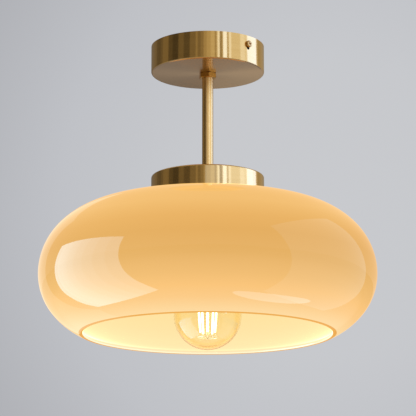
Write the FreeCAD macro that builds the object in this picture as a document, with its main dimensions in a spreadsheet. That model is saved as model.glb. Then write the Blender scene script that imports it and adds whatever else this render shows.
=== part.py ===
"""Semi flush ceiling light: a brass canopy, a stem, a brass cap and a round glass shade with a screw bulb.

Millimetres. The origin is on the ceiling's face, on the lamp's axis, with +Z up, so the lamp hangs below
zero. The front is -Y. The crossbar, the side screws and the wires lie on a line turned from the X axis.
"""
import FreeCAD
import Part
import Sketcher
import math
import os
import re

SIZES = {
    # Canopy on the ceiling, and the cap on the shade, which is pressed the same way.
    "canopy_diameter": 102,
    "canopy_height": 25,
    "cap_diameter": 101,
    "cup_wall": 1.2,
    "cup_edge": 1.5,
    # Stem and its thin nuts.
    "stem_diameter": 10,
    "stem_bore": 7.5,
    "stem_drop": 96,
    "stem_play": 0.2,
    "stem_end": 2,
    "thread_play": 0.05,
    "nut_flats": 14,
    "nut_height": 4.4,
    "nut_chamfer": 0.6,
    "nut_turn": 8,
    "washer_diameter": 18,
    "washer_thickness": 0.8,
    # Crossbar on the ceiling.
    "bar_turn": -45,
    "bar_width": 20,
    "bar_thickness": 1.5,
    "bar_play": 1.2,
    "bar_bend": 2.2,
    "bar_drop": 16,
    "bar_entry": 19,
    "ceiling_hole": 5.2,
    "ceiling_circle": 60,
    "tab_width": 29,
    "tab_reach": 29.5,
    # Side screws, and the slots in the canopy's wall that they pass through.
    "side_level": 7.9,
    "side_thread": 3,
    "side_length": 8,
    "side_head": 6.2,
    "side_head_height": 2.4,
    "side_head_round": 1.2,
    "recess_width": 0.9,
    "recess_length": 3.6,
    "recess_depth": 1.3,
    "slot_width": 3.4,
    "slot_rise": 0.6,
    "slot_fall": 3.4,
    # Terminal block under the crossbar's tab.
    "block_length": 25,
    "block_depth": 16,
    "block_height": 12,
    "block_offset": 12,
    "pole_pitch": 8,
    "pole_diameter": 5,
    "pole_bore": 3.2,
    "pole_length": 13,
    "pole_level": 5.2,
    "pole_thread": 2.5,
    "pole_screw_head": 3.4,
    "pole_screw_head_height": 1.2,
    "pole_well": 3.8,
    "block_thread": 3,
    "block_head": 5.2,
    "block_head_height": 2,
    "block_screw_end": 0.5,
    # Earth screw on the crossbar, and the ring tag under its head.
    "earth_thread": 4,
    "earth_head": 7,
    "earth_head_height": 2.4,
    "earth_along": 15,
    "earth_across": 5.4,
    "tag_thickness": 0.8,
    "tag_diameter": 8,
    "tag_neck": 3.6,
    "tag_length": 8,
    # Single insulated wires.
    "wire_diameter": 2.2,
    "wire_spacing": 2.7,
    # Lamp holder: a dome on the stem, a threaded barrel and what they hold.
    "holder_gap": 2.1,
    "dome_diameter": 45,
    "dome_height": 14.5,
    "dome_neck": 15.6,
    "dome_shoulder": 24,
    "dome_skirt": 7,
    "dome_bore": 32,
    "dome_roof": 2.6,
    "boss_depth": 6.5,
    "grub_thread": 2.5,
    "grub_length": 2.6,
    "grub_level": 2.6,
    "barrel_diameter": 39.9,
    "barrel_length": 45,
    "flange_reach": 3.55,
    "flange_thickness": 3,
    "chamber_wall": 2.2,
    "chamber_depth": 18,
    "shell_bore": 26.8,
    "shell_wall": 0.4,
    "shell_length": 27,
    "lip_play": 0.35,
    "shell_play": 0.05,
    "carrier_play": 0.25,
    "carrier_rim": 2,
    "carrier_recess": 2,
    "carrier_thickness": 12,
    "terminal_spacing": 20,
    "terminal_length": 6,
    "terminal_width": 5,
    "terminal_height": 3.5,
    "terminal_thread": 2.5,
    "terminal_head": 3,
    "terminal_head_height": 1.2,
    "terminal_screw_length": 1.8,
    "leaf_width": 6,
    "leaf_thickness": 0.5,
    "leaf_reach": 9.5,
    "side_contact_width": 4,
    "side_contact_thickness": 0.6,
    "tip_gap": 0.3,
    "tip_depth": 25,
    # Shade, with the arcs of its outline, and what clamps it.
    "shade_diameter": 300,
    "shade_wall": 3.5,
    "hole_play": 1.05,
    "side_arc": 58.9,
    "side_turn": 45.3,
    "shoulder_arc": 70.5,
    "lower_arc": 53.1,
    "lower_turn": 39.2,
    "return_arc": 69.4,
    "rim_turn": 66.4,
    "gasket_thickness": 1,
    "gasket_reach": 3.3,
    "ring_reach": 7.05,
    "ring_height": 6,
    "ring_play": 0.3,
    "ring_notches": 12,
    "ring_notch_width": 4,
    "ring_notch_depth": 2,
    # Bulb: a clear globe on an Edison screw cap.
    "bulb_diameter": 60,
    "bulb_glass": 1,
    "bulb_turn": 40,
    "bulb_neck": 28,
    "neck_length": 9.04,
    "crest_diameter": 26.2,
    "root_diameter": 24.8,
    "cap_bore": 24.1,
    "cap_pitch": 3.629,
    "cap_threads": 4,
    "cap_length": 27,
    "neck_tail": 4,
    "neck_play": 0.1,
    "tip_diameter": 9.2,
    "tip_height": 2,
    "insulator_height": 5,
    "insulator_cone": 3,
    "filament_count": 5,
    "filament_diameter": 1.6,
    "filament_length": 36,
    "filament_low": 15,
    "low_circle": 13.4,
    "high_circle": 19,
    "support_drop": 4.1,
    "support_step": 2,
    "support_wire": 0.8,
    "mount_tube": 7,
    "mount_rod": 2.4,
    "mount_height": 26,
    "driver_width": 16,
    "driver_height": 14,
    "driver_thickness": 1.6,
}

doc = FreeCAD.newDocument("ceiling_light")
sheet = doc.addObject("Spreadsheet::Sheet", "sizes")
for row, (alias, number) in enumerate(SIZES.items(), start=1):
    sheet.set(f"A{row}", alias)
    sheet.set(f"B{row}", str(number))
    sheet.setAlias(f"B{row}", alias)
doc.recompute()

# Levels, each worked out from the pieces stacked above it. The ceiling's face is at zero.
BAR_UNDER = "(-bar_thickness)"
CANOPY_UNDER = "(-canopy_height)"
CANOPY_FLOOR = f"({CANOPY_UNDER} + cup_wall)"
SCREW_LEVEL = "(-side_level)"
POLE_LEVEL = f"({BAR_UNDER} - pole_level)"
BLOCK_UNDER = f"({BAR_UNDER} - block_height)"
INNER_WASHER_TOP = f"({CANOPY_FLOOR} + washer_thickness)"
INNER_NUT_TOP = f"({INNER_WASHER_TOP} + nut_height)"
STEM_TOP = f"({INNER_NUT_TOP} + stem_end)"
CAP_TOP = f"({CANOPY_UNDER} - stem_drop)"
CAP_ROOF = f"({CAP_TOP} - cup_wall)"
CAP_WASHER_UNDER = f"({CAP_ROOF} - washer_thickness)"
CAP_NUT_UNDER = f"({CAP_WASHER_UNDER} - nut_height)"
DOME_TOP = f"({CAP_NUT_UNDER} - holder_gap)"
BOSS_UNDER = f"({DOME_TOP} - boss_depth)"
FLANGE_TOP = f"({DOME_TOP} - dome_height)"
FLANGE_UNDER = f"({FLANGE_TOP} - flange_thickness)"
BARREL_UNDER = f"({FLANGE_UNDER} - barrel_length)"
CHAMBER_FLOOR = f"({FLANGE_TOP} - chamber_depth)"
CARRIER_ROOF = f"({FLANGE_TOP} - carrier_recess)"
CARRIER_UNDER = f"({CARRIER_ROOF} - carrier_thickness)"
TERMINAL_TOP = f"({CARRIER_ROOF} + terminal_height)"
LIP_TOP = f"({CHAMBER_FLOOR} + shell_wall)"
SHADE_TOP = f"({FLANGE_UNDER} - gasket_thickness)"
SHADE_UNDER = f"({SHADE_TOP} - shade_wall)"
RING_TOP = f"({SHADE_UNDER} - gasket_thickness)"
RING_UNDER = f"({RING_TOP} - ring_height)"
EQUATOR = f"({SHADE_TOP} - shoulder_arc - (side_arc - shoulder_arc)*sin(side_turn))"
TIP_TOP = f"({BARREL_UNDER} + tip_depth)"
BULB_SKIRT = f"({TIP_TOP} - cap_length)"
NECK_END = f"({BULB_SKIRT} + neck_tail)"
NECK_ARC = "((bulb_diameter*cos(bulb_turn) - bulb_neck)/2/(1 - cos(bulb_turn)))"
NECK_LEVEL = f"({BULB_SKIRT} - neck_length)"
GLOBE_CENTRE = f"({NECK_LEVEL} - (bulb_diameter/2 + {NECK_ARC})*sin(bulb_turn))"
BULB_UNDER = f"({GLOBE_CENTRE} - bulb_diameter/2)"
STICK_LOW = f"({BULB_UNDER} + filament_low)"
STICK_HIGH = f"({STICK_LOW} + sqrt(filament_length^2 - ((high_circle - low_circle)/2)^2))"

# Radius of the lamp holder's upper chamber.
CHAMBER = "(barrel_diameter/2 - chamber_wall)"


def bound(expression):
    """An expression for the document, in which each size's name points at the sheet."""
    return re.sub(r"\b[a-z]+(?:_[a-z]+)+\b", r"sizes.\g<0>", expression)


def value(expression):
    """The number that an expression gives now."""
    return float(sheet.evalExpression(expression))


def half(size):
    """Half of a size, as an expression."""
    return f"({size})/2"


def place(piece, x="0", y="0", z="0", turn="0", tilt="0"):
    """Tilt a piece about Y, move it, then turn it about the lamp's axis."""
    upright = FreeCAD.Vector(0, 0, 1)
    tilted = FreeCAD.Rotation(FreeCAD.Vector(0, 1, 0), value(tilt))
    moved = FreeCAD.Placement(FreeCAD.Vector(value(x), value(y), value(z)), tilted)
    turned = FreeCAD.Placement(FreeCAD.Vector(), FreeCAD.Rotation(upright, value(turn)))
    piece.Placement = turned * moved


def new_body(label):
    """An empty body that carries one piece."""
    body = doc.addObject("PartDesign::Body", label)
    body.Label = label
    return body


def sketch_on(body, plane, level):
    """A sketch on one of the body's own planes, raised along that plane's normal."""
    support = next(part for part in body.Origin.OriginFeatures if part.Role == plane)
    sketch = body.newObject("Sketcher::SketchObject", "outline")
    sketch.AttachmentSupport = (support, [""])
    sketch.MapMode = "FlatFace"
    sketch.setExpression("AttachmentOffset.Base.z", bound(level))
    return sketch


def fix_point(sketch, edge, end, x, y):
    """Hold a point of the sketch at two expressions."""
    for kind, expression, axis in (("DistanceX", x, -2), ("DistanceY", y, -1)):
        if expression == "0":
            sketch.addConstraint(Sketcher.Constraint("PointOnObject", edge, end, axis))
            continue
        now = value(expression)
        number = sketch.addConstraint(Sketcher.Constraint(kind, -1, 1, edge, end, now))
        sketch.setExpression(f"Constraints[{number}]", bound(expression))


def arc_between(start, stop, radius, turn):
    """The short arc from one point to the next: turn is 1 anticlockwise and -1 clockwise."""
    chord = stop - start
    middle = (start + stop) / 2
    rise = math.sqrt(max(radius**2 - (chord.Length / 2) ** 2, 0))
    side = FreeCAD.Vector(-chord.y, chord.x, 0).normalize() * turn
    centre = middle + side * rise
    angles = [math.atan2(point.y - centre.y, point.x - centre.x) for point in (start, stop)]
    first, last = angles if turn > 0 else angles[::-1]
    circle = Part.Circle(centre, FreeCAD.Vector(0, 0, 1), radius)
    return Part.ArcOfCircle(circle, first, last if last > first else last + 2 * math.pi)


def outline(body, plane, corners, level="0"):
    """A closed outline. A corner is x, y, and also a radius and a turn where an arc leaves it."""
    sketch = sketch_on(body, plane, level)
    points = [FreeCAD.Vector(value(corner[0]), value(corner[1]), 0) for corner in corners]
    ends = []
    for place_now, corner in enumerate(corners):
        start = points[place_now]
        stop = points[(place_now + 1) % len(points)]
        if len(corner) == 2:
            sketch.addGeometry(Part.LineSegment(start, stop))
            ends.append((1, 2))
            continue
        radius, turn = corner[2:]
        edge = sketch.addGeometry(arc_between(start, stop, value(radius), turn))
        ends.append((1, 2) if turn > 0 else (2, 1))
        number = sketch.addConstraint(Sketcher.Constraint("Radius", edge, value(radius)))
        sketch.setExpression(f"Constraints[{number}]", bound(radius))
    for edge, (first, last) in enumerate(ends):
        following = (edge + 1) % len(ends)
        sketch.addConstraint(Sketcher.Constraint("Coincident", edge, last, following, ends[following][0]))
        fix_point(sketch, edge, first, corners[edge][0], corners[edge][1])
    return sketch


def circles(body, plane, rings, level="0"):
    """A sketch of circles, each given by x, y and a diameter."""
    sketch = sketch_on(body, plane, level)
    for edge, (x, y, diameter) in enumerate(rings):
        centre = FreeCAD.Vector(value(x), value(y), 0)
        sketch.addGeometry(Part.Circle(centre, FreeCAD.Vector(0, 0, 1), value(diameter) / 2))
        fix_point(sketch, edge, 3, x, y)
        number = sketch.addConstraint(Sketcher.Constraint("Diameter", edge, value(diameter)))
        sketch.setExpression(f"Constraints[{number}]", bound(diameter))
    return sketch


def settle(body, feature, adds):
    """Build the document, and see that the last feature added or removed material."""
    doc.recompute()
    before = feature.BaseFeature.Shape.Volume if feature.BaseFeature else 0
    change = feature.Shape.Volume - before
    if change * (1 if adds else -1) <= 0:
        raise RuntimeError(f"{body.Label}: {feature.Name} changed its volume by {change}")
    return feature


def turned(body, corners, adds=True):
    """Turn an outline about the body's Z axis, as material or as a groove."""
    sketch = outline(body, "XZ_Plane", corners)
    feature = body.newObject("PartDesign::Revolution" if adds else "PartDesign::Groove", "turned")
    feature.Profile = sketch
    feature.ReferenceAxis = (sketch, ["V_Axis"])
    feature.Angle = 360
    return settle(body, feature, adds)


def raised(body, sketch, length, both_sides=False):
    """Pad a sketch along its normal, or half to each side."""
    feature = body.newObject("PartDesign::Pad", "raised")
    feature.Profile = sketch
    feature.SideType = "Symmetric" if both_sides else "One side"
    feature.setExpression("Length", bound(length))
    return settle(body, feature, True)


def pocket(body, sketch, length, both_sides=False):
    """Cut a sketch against its normal, or half to each side."""
    feature = body.newObject("PartDesign::Pocket", "pocket")
    feature.Profile = sketch
    feature.SideType = "Symmetric" if both_sides else "One side"
    feature.setExpression("Length", bound(length))
    return settle(body, feature, False)


def box_corners(x_low, x_high, y_low, y_high):
    """The four corners of a rectangle."""
    return [(x_low, y_low), (x_high, y_low), (x_high, y_high), (x_low, y_high)]


def group(label, bodies):
    """One node of like solids."""
    compound = doc.addObject("Part::Compound", label)
    compound.Label = label
    compound.Links = bodies
    return compound


def sleeve(label, bore, diameter, under, top):
    """A plain ring or tube about the lamp's axis."""
    body = new_body(label)
    turned(body, [(half(bore), under), (half(diameter), under), (half(diameter), top), (half(bore), top)])
    return body


def cup(label, diameter, plate, rim, opens):
    """A pressed cup: opens is 1 where its rim is above its plate, and -1 where it is below."""
    body = new_body(label)
    radius = half(diameter)
    inside = f"({radius} - cup_wall)"
    bend_start = f"({radius} - cup_edge)"
    bend_end = f"({plate} + cup_edge*({opens}))"
    turned(body, [
        ("stem_diameter/2 + stem_play", plate),
        (bend_start, plate, "cup_edge", opens),
        (radius, bend_end),
        (radius, rim),
        (inside, rim),
        (inside, bend_end, "cup_edge - cup_wall", -opens),
        (bend_start, f"{plate} + cup_wall*({opens})"),
        ("stem_diameter/2 + stem_play", f"{plate} + cup_wall*({opens})"),
    ])
    return body


def thin_nut(label, under, turn):
    """A hexagon nut on the stem, chamfered on both faces."""
    body = new_body(label)
    prism = body.newObject("PartDesign::AdditivePrism", "hexagon")
    prism.Polygon = 6
    corner = "nut_flats/(2*cos(30))"
    prism.setExpression("Circumradius", bound(corner))
    prism.setExpression("Height", bound("nut_height"))
    doc.recompute()
    pocket(body, circles(body, "XY_Plane", [("0", "0", "stem_diameter + 2*thread_play")], "nut_height"),
           "nut_height")
    clear = f"({corner} + nut_chamfer)"
    turned(body, [("nut_flats/2", "nut_height"), (corner, "nut_height - nut_chamfer"),
                  (clear, "nut_height - nut_chamfer"), (clear, "nut_height")], adds=False)
    turned(body, [("nut_flats/2", "0"), (clear, "0"), (clear, "nut_chamfer"), (corner, "nut_chamfer")],
           adds=False)
    place(body, z=under, turn=turn)
    return body


def pan_screw(label, thread, length, head, head_height, head_round="0.3"):
    """A pan head screw with a cross recess. Its seat is at zero, and its head is above it."""
    body = new_body(label)
    shoulder = f"({head_height} - {head_round})"
    turned(body, [
        ("0", f"-({length})"),
        (f"({thread})/2 - 0.15*({thread})", f"-({length})"),
        (half(thread), f"0.15*({thread}) - ({length})"),
        (half(thread), "0"),
        (half(head), "0"),
        (half(head), shoulder, head_round, 1),
        (f"({head})/2 - {head_round}", head_height),
        ("0", head_height),
    ])
    return body


def cross_recess(body, width, length, depth, top):
    """Two crossed slots in a screw's head."""
    for across, along in ((width, length), (length, width)):
        corners = box_corners(f"-({across})/2", half(across), f"-({along})/2", half(along))
        pocket(body, outline(body, "XY_Plane", corners, top), depth)


def slot_recess(body, width, length, depth, top):
    """One straight slot in a screw's head."""
    corners = box_corners(f"-({length})/2", half(length), f"-({width})/2", half(width))
    pocket(body, outline(body, "XY_Plane", corners, top), depth)


def crossbar():
    """Steel bar on the ceiling with two tapped ears, and a tab that carries the terminal block."""
    body = new_body("crossbar")
    reach = "(canopy_diameter/2 - cup_wall - bar_play)"
    bent = f"({reach} - bar_bend)"
    inner = f"({reach} - bar_thickness)"
    inner_bend = "bar_bend - bar_thickness"
    profile = outline(body, "XZ_Plane", [
        (f"-{reach}", "-bar_drop"),
        (f"-{reach}", "-bar_bend", "bar_bend", -1),
        (f"-{bent}", "0"),
        (bent, "0", "bar_bend", -1),
        (reach, "-bar_bend"),
        (reach, "-bar_drop"),
        (inner, "-bar_drop"),
        (inner, "-bar_bend", inner_bend, 1),
        (bent, BAR_UNDER),
        (f"-{bent}", BAR_UNDER, inner_bend, 1),
        (f"-{inner}", "-bar_bend"),
        (f"-{inner}", "-bar_drop"),
    ])
    raised(body, profile, "bar_width", both_sides=True)
    tab = box_corners("-tab_width/2", "tab_width/2", "0", "tab_reach")
    raised(body, outline(body, "XY_Plane", tab, BAR_UNDER), "bar_thickness")
    holes = [
        ("0", "0", "bar_entry"),
        ("ceiling_circle/2", "0", "ceiling_hole"),
        ("-ceiling_circle/2", "0", "ceiling_hole"),
        ("-earth_along", "-earth_across", "earth_thread + 2*thread_play"),
        ("pole_pitch/2", "block_offset + block_depth/2", "block_thread + 2*thread_play"),
    ]
    pocket(body, circles(body, "XY_Plane", holes), "bar_thickness")
    tapped = circles(body, "YZ_Plane", [("0", SCREW_LEVEL, "side_thread + 2*thread_play")])
    pocket(body, tapped, f"2*{reach}", both_sides=True)
    place(body, turn="bar_turn")


def side_screws():
    """Two pan head screws that hold the canopy to the crossbar's ears."""
    screws = []
    for side in (1, -1):
        body = pan_screw("side_screw", "side_thread", "side_length", "side_head", "side_head_height",
                         "side_head_round")
        cross_recess(body, "recess_width", "recess_length", "recess_depth", "side_head_height")
        place(body, x=f"{side}*canopy_diameter/2", z=SCREW_LEVEL, turn="bar_turn", tilt=f"{side}*90")
        screws.append(body)
    group("side_screws", screws)


def canopy():
    """Brass cup against the ceiling, slotted for the side screws."""
    body = cup("canopy", "canopy_diameter", CANOPY_UNDER, "0", 1)
    high = f"({SCREW_LEVEL} + slot_rise)"
    low = f"({SCREW_LEVEL} - slot_fall)"
    edge = "slot_width/2"
    slot = outline(body, "YZ_Plane", [
        (f"-{edge}", low, "slot_width*0.501", 1),
        (edge, low),
        (edge, high, "slot_width*0.501", 1),
        (f"-{edge}", high),
    ])
    pocket(body, slot, "canopy_diameter + 2*cup_wall", both_sides=True)
    place(body, turn="bar_turn")


def stem_and_nuts():
    """Threaded tube from the canopy to the lamp holder, and the nuts and washers that clamp it."""
    sleeve("stem", "stem_bore", "stem_diameter", BOSS_UNDER, STEM_TOP)
    bore = "stem_diameter + 2*stem_play"
    sleeve("canopy_lock_washer", bore, "washer_diameter", CANOPY_FLOOR, INNER_WASHER_TOP)
    thin_nut("canopy_inner_nut", INNER_WASHER_TOP, "0")
    thin_nut("canopy_outer_nut", f"({CANOPY_UNDER} - nut_height)", "nut_turn")
    thin_nut("cap_outer_nut", CAP_TOP, "nut_turn")
    sleeve("cap_lock_washer", bore, "washer_diameter", CAP_WASHER_UNDER, CAP_ROOF)
    thin_nut("cap_inner_nut", CAP_NUT_UNDER, "0")


def terminal_block():
    """Three pole connector under the crossbar's tab, with its brass poles and screws."""
    block = new_body("terminal_block")
    near = "block_offset"
    far = "(block_offset + block_depth)"
    poles = [f"({number}*pole_pitch)" for number in (-1, 0, 1)]
    plan = box_corners("-block_length/2", "block_length/2", near, far)
    raised(block, outline(block, "XY_Plane", plan, BLOCK_UNDER), "block_height")
    bores = [(pole, POLE_LEVEL, "pole_diameter + 2*thread_play") for pole in poles]
    pocket(block, circles(block, "XZ_Plane", bores), f"2*{far}", both_sides=True)
    middle = "(block_offset + block_depth/2)"
    wells = [(pole, middle, "pole_well") for pole in poles]
    pocket(block, circles(block, "XY_Plane", wells, POLE_LEVEL), "block_height")
    fixing = [("pole_pitch/2", middle, "block_thread + 2*thread_play")]
    pocket(block, circles(block, "XY_Plane", fixing), "2*block_height")
    place(block, turn="bar_turn")

    inserts = []
    screws = []
    screw_seat = f"({POLE_LEVEL} - pole_diameter/2)"
    reach = "(pole_diameter - wire_diameter)/2 - thread_play"
    for pole in poles:
        insert = new_body("pole")
        tube = circles(insert, "XZ_Plane", [("0", "0", "pole_diameter")])
        raised(insert, tube, "pole_length", both_sides=True)
        pocket(insert, circles(insert, "XZ_Plane", [("0", "0", "pole_bore")]), "2*pole_length",
               both_sides=True)
        tapped = circles(insert, "XY_Plane", [("0", "0", "pole_thread + 2*thread_play")])
        pocket(insert, tapped, "pole_diameter")
        place(insert, x=pole, y=middle, z=POLE_LEVEL, turn="bar_turn")
        inserts.append(insert)
        screw = pan_screw("pole_screw", "pole_thread", reach, "pole_screw_head",
                          "pole_screw_head_height", "0.2")
        slot_recess(screw, "0.6", "pole_screw_head", "0.6", "pole_screw_head_height")
        place(screw, x=pole, y=middle, z=screw_seat, turn="bar_turn", tilt="180")
        screws.append(screw)
    group("terminal_poles", inserts)
    group("terminal_screws", screws)

    length = "block_height + bar_thickness - block_screw_end"
    fixing_screw = pan_screw("block_screw", "block_thread", length, "block_head",
                             "block_head_height", "0.5")
    cross_recess(fixing_screw, "0.8", "3", "1", "block_head_height")
    place(fixing_screw, x="pole_pitch/2", y=middle, z=BLOCK_UNDER, turn="bar_turn", tilt="180")


def earth_point():
    """Ring tag and screw that bond the crossbar to earth."""
    tag_under = f"({BAR_UNDER} - tag_thickness)"
    tag = new_body("earth_tag")
    disc = circles(tag, "XY_Plane", [("0", "0", "tag_diameter")])
    raised(tag, disc, "tag_thickness")
    neck = box_corners("0", "tag_length", "-tag_neck/2", "tag_neck/2")
    raised(tag, outline(tag, "XY_Plane", neck), "tag_thickness")
    pocket(tag, circles(tag, "XY_Plane", [("0", "0", "earth_thread + 2*thread_play")], "tag_thickness"),
           "tag_thickness")
    place(tag, x="-earth_along", y="-earth_across", z=tag_under, turn="bar_turn")
    length = "tag_thickness + bar_thickness"
    screw = pan_screw("earth_screw", "earth_thread", length, "earth_head", "earth_head_height", "0.8")
    cross_recess(screw, "1", "4", "1.4", "earth_head_height")
    place(screw, x="-earth_along", y="-earth_across", z=tag_under, turn="bar_turn", tilt="180")


def wire(label, points, diameter):
    """An insulated wire: straight runs joined by arcs as large as the runs beside them allow."""
    route = [FreeCAD.Vector(*[value(number) for number in point]) for point in points]
    edges = []
    start = route[0]
    for before, corner, after in zip(route, route[1:], route[2:]):
        towards = (before - corner).normalize()
        onwards = (after - corner).normalize()
        turn = math.pi - towards.getAngle(onwards)
        trim = 0.45 * min((before - corner).Length, (after - corner).Length)
        radius = trim / math.tan(turn / 2)
        print(f"{label}: bend of radius {radius:.2f}")
        first = corner + towards * trim
        last = corner + onwards * trim
        middle = corner + (towards + onwards).normalize() * (radius / math.cos(turn / 2) - radius)
        edges.append(Part.LineSegment(start, first).toShape())
        edges.append(Part.Arc(first, middle, last).toShape())
        start = last
    edges.append(Part.LineSegment(start, route[-1]).toShape())
    path = Part.Wire(edges)
    section = Part.Wire(Part.makeCircle(diameter / 2, route[0], route[1] - route[0]))
    tube = path.makePipeShell([section], True, True, 2)
    expected = math.pi * diameter**2 / 4 * path.Length
    if abs(tube.Volume / expected - 1) > 0.01:
        raise RuntimeError(f"{label}: volume {tube.Volume}, expected {expected}")
    piece = doc.addObject("Part::Feature", label)
    piece.Label = label
    piece.Shape = tube
    place(piece, turn="bar_turn")


def wires():
    """Line and return wires through the stem to the holder's terminals, and the earth wire."""
    diameter = value("wire_diameter")
    entry = "block_offset + block_depth/2 + pole_thread"
    in_stem = "wire_spacing/2"
    for label, side in (("line_wire", -1), ("return_wire", 1)):
        wire(label, [
            (f"{side}*pole_pitch", entry, POLE_LEVEL),
            (f"{side}*pole_pitch", "block_offset/2", POLE_LEVEL),
            (f"{side}*pole_pitch*0.45", "block_offset*0.1", f"({POLE_LEVEL} + {STEM_TOP})/2 + 1"),
            (f"{side}*{in_stem}", "0", f"{STEM_TOP} - 1"),
            (f"{side}*{in_stem}", "0", f"({BOSS_UNDER} + {TERMINAL_TOP})/2"),
            (f"{side}*(terminal_spacing - terminal_length)/4", "0", f"({TERMINAL_TOP} + {CARRIER_ROOF})/2"),
            (f"{side}*(terminal_spacing - terminal_length)/2", "0", f"({TERMINAL_TOP} + {CARRIER_ROOF})/2"),
        ], diameter)
    tag_end = "(tag_length - earth_along)"
    wire("earth_wire", [
        ("0", entry, POLE_LEVEL),
        ("0", "block_offset*0.4", POLE_LEVEL),
        (f"{tag_end}*0.3", "-earth_across", f"{BAR_UNDER} - tag_thickness - wire_diameter/2"),
        (f"{tag_end} - wire_diameter", "-earth_across", f"{BAR_UNDER} - tag_thickness - wire_diameter/2"),
    ], diameter)


def shade_cap():
    """Brass cup with its plate up, standing on the shade."""
    cup("shade_cap", "cap_diameter", CAP_TOP, SHADE_TOP, -1)


def holder_dome():
    """Moulded dome that screws onto the stem and covers the terminals, with its grub screw."""
    dome = new_body("holder_dome")
    roof = f"({DOME_TOP} - dome_roof)"
    neck_bore = "stem_diameter/2 + thread_play"
    boss = "(dome_neck/2)"
    skirt_top = f"({FLANGE_TOP} + dome_skirt)"
    turned(dome, [
        (neck_bore, DOME_TOP),
        (boss, DOME_TOP),
        ("dome_shoulder/2", f"{DOME_TOP} - dome_roof/2"),
        ("dome_diameter/2", skirt_top),
        ("dome_diameter/2", FLANGE_TOP),
        ("dome_bore/2", FLANGE_TOP),
        ("dome_bore/2", f"{skirt_top} - dome_roof/2"),
        ("dome_shoulder/2", f"{roof} - dome_roof/2"),
        (boss, f"{roof} - dome_roof/2"),
        (boss, BOSS_UNDER),
        (neck_bore, BOSS_UNDER),
    ])
    tapped = circles(dome, "YZ_Plane", [("0", f"{DOME_TOP} - grub_level", "grub_thread + 2*thread_play")])
    drilled = dome.newObject("PartDesign::Pocket", "grub_hole")
    drilled.Profile = tapped
    drilled.Reversed = True
    drilled.setExpression("Length", bound("dome_diameter/2"))
    settle(dome, drilled, False)
    place(dome, turn="bar_turn + 90")

    grub = new_body("grub_screw")
    turned(grub, [("0", "0"), ("grub_thread/2", "0"), ("grub_thread/2", "grub_length"), ("0", "grub_length")])
    slot_recess(grub, "0.5", "grub_thread + 1", "0.6", "grub_length")
    place(grub, x="stem_diameter/2", z=f"{DOME_TOP} - grub_level", turn="bar_turn + 90", tilt="90")


def holder_barrel():
    """Threaded barrel of the lamp holder, with the flange that bears on the shade."""
    body = new_body("holder_barrel")
    shell_seat = "(shell_bore/2 + shell_wall + shell_play)"
    turned(body, [
        (CHAMBER, FLANGE_TOP),
        ("barrel_diameter/2 + flange_reach", FLANGE_TOP),
        ("barrel_diameter/2 + flange_reach", FLANGE_UNDER),
        ("barrel_diameter/2", FLANGE_UNDER),
        ("barrel_diameter/2", BARREL_UNDER),
        (shell_seat, BARREL_UNDER),
        (shell_seat, CHAMBER_FLOOR),
        (CHAMBER, CHAMBER_FLOOR),
    ])


def screw_shell():
    """Pressed metal shell that takes the bulb's thread, hung by its lip on the barrel's ledge."""
    body = new_body("screw_shell")
    outer = "(shell_bore/2 + shell_wall)"
    low = f"({LIP_TOP} - shell_length)"
    turned(body, [
        ("shell_bore/2", low),
        (outer, low),
        (outer, CHAMBER_FLOOR),
        (f"{CHAMBER} - lip_play", CHAMBER_FLOOR),
        (f"{CHAMBER} - lip_play", LIP_TOP),
        ("shell_bore/2", LIP_TOP),
    ])


def contact_carrier():
    """Ceramic insert that holds the terminals above and the two contacts below."""
    body = new_body("contact_carrier")
    rim = f"({CHAMBER} - carrier_play)"
    inside = f"({rim} - carrier_rim)"
    turned(body, [
        ("0", CARRIER_UNDER),
        (inside, CARRIER_UNDER),
        (inside, LIP_TOP),
        (rim, LIP_TOP),
        (rim, FLANGE_TOP),
        (inside, FLANGE_TOP),
        (inside, CARRIER_ROOF),
        ("0", CARRIER_ROOF),
    ])

    terminals = []
    screws = []
    for side in (1, -1):
        post = new_body("post")
        plan = box_corners("-terminal_length/2", "terminal_length/2", "-terminal_width/2", "terminal_width/2")
        raised(post, outline(post, "XY_Plane", plan), "terminal_height")
        tapped = circles(post, "XY_Plane", [("0", "0", "terminal_thread + 2*thread_play")], "terminal_height")
        pocket(post, tapped, "terminal_screw_length + thread_play")
        place(post, x=f"{side}*terminal_spacing/2", z=CARRIER_ROOF, turn="bar_turn")
        terminals.append(post)
        screw = pan_screw("post_screw", "terminal_thread", "terminal_screw_length", "terminal_head",
                          "terminal_head_height", "0.2")
        slot_recess(screw, "0.5", "terminal_head", "0.6", "terminal_head_height")
        place(screw, x=f"{side}*terminal_spacing/2", z=TERMINAL_TOP, turn="bar_turn")
        screws.append(screw)
    group("holder_terminals", terminals)
    group("holder_terminal_screws", screws)

    leaf = new_body("centre_contact")
    tip = f"({TIP_TOP} + tip_gap)"
    bend = "leaf_width"
    profile = outline(leaf, "XZ_Plane", [
        ("leaf_reach", CARRIER_UNDER),
        ("leaf_reach", f"{CARRIER_UNDER} - leaf_thickness"),
        (bend, f"{CARRIER_UNDER} - leaf_thickness"),
        (half(bend), tip),
        (f"-{half(bend)}", tip),
        (f"-{half(bend)}", f"{tip} + leaf_thickness"),
        (f"{half(bend)} - leaf_thickness", f"{tip} + leaf_thickness"),
        (f"{bend} - leaf_thickness", CARRIER_UNDER),
    ])
    raised(leaf, profile, "leaf_width", both_sides=True)
    place(leaf, turn="bar_turn")

    strip = new_body("side_contact")
    outer = f"-({inside} - 2*side_contact_thickness)"
    plan = box_corners(f"{outer} - side_contact_thickness", outer,
                       "-side_contact_width/2", "side_contact_width/2")
    raised(strip, outline(strip, "XY_Plane", plan, LIP_TOP), f"{CARRIER_UNDER} - {LIP_TOP}")
    place(strip, turn="bar_turn")


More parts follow.
